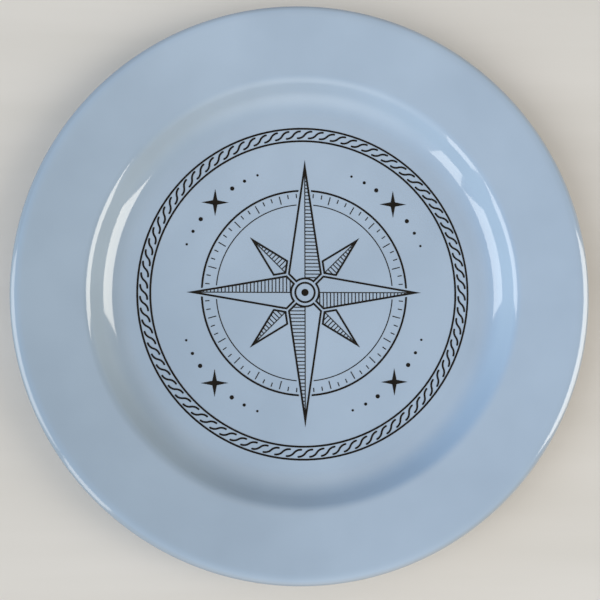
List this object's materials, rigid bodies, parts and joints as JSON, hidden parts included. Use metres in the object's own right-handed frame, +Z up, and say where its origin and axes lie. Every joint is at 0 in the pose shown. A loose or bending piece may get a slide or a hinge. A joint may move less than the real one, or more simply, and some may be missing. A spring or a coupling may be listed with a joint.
{
  "type": "souvenir plate",
  "caption": "Round rimmed stoneware plate with a coved well, a bare foot ring, a pale blue glaze, and a line-art compass in a rope border printed in the well.",
  "frame": {"origin": "on the plate's axis, at the surface that its foot ring stands on", "axes": "+Z up along the plate's axis, +Y towards the printed compass's north point, +X towards its east point"},
  "size_m": [0.267, 0.267, 0.0215],
  "materials": {
    "stoneware": "matte",
    "glaze": "gloss",
    "print_enamel": "satin"
  },
  "bodies": {
    "root": {"stoneware_body": "stoneware", "glaze_coat": "glaze", "glaze_in_foot_recess": "glaze", "beads": "print_enamel", "border_inner_line": "print_enamel", "border_outer_line": "print_enamel", "compass_inner_ring": "print_enamel", "compass_outer_ring": "print_enamel", "degree_ticks": "print_enamel", "east_point": "print_enamel", "hub_dot": "print_enamel", "hub_ring": "print_enamel", "north_east_point": "print_enamel", "north_point": "print_enamel", "north_west_point": "print_enamel", "rope_strands": "print_enamel", "south_east_point": "print_enamel", "south_point": "print_enamel", "south_west_point": "print_enamel", "sparkles": "print_enamel", "west_point": "print_enamel"}
  },
  "joints": []
}
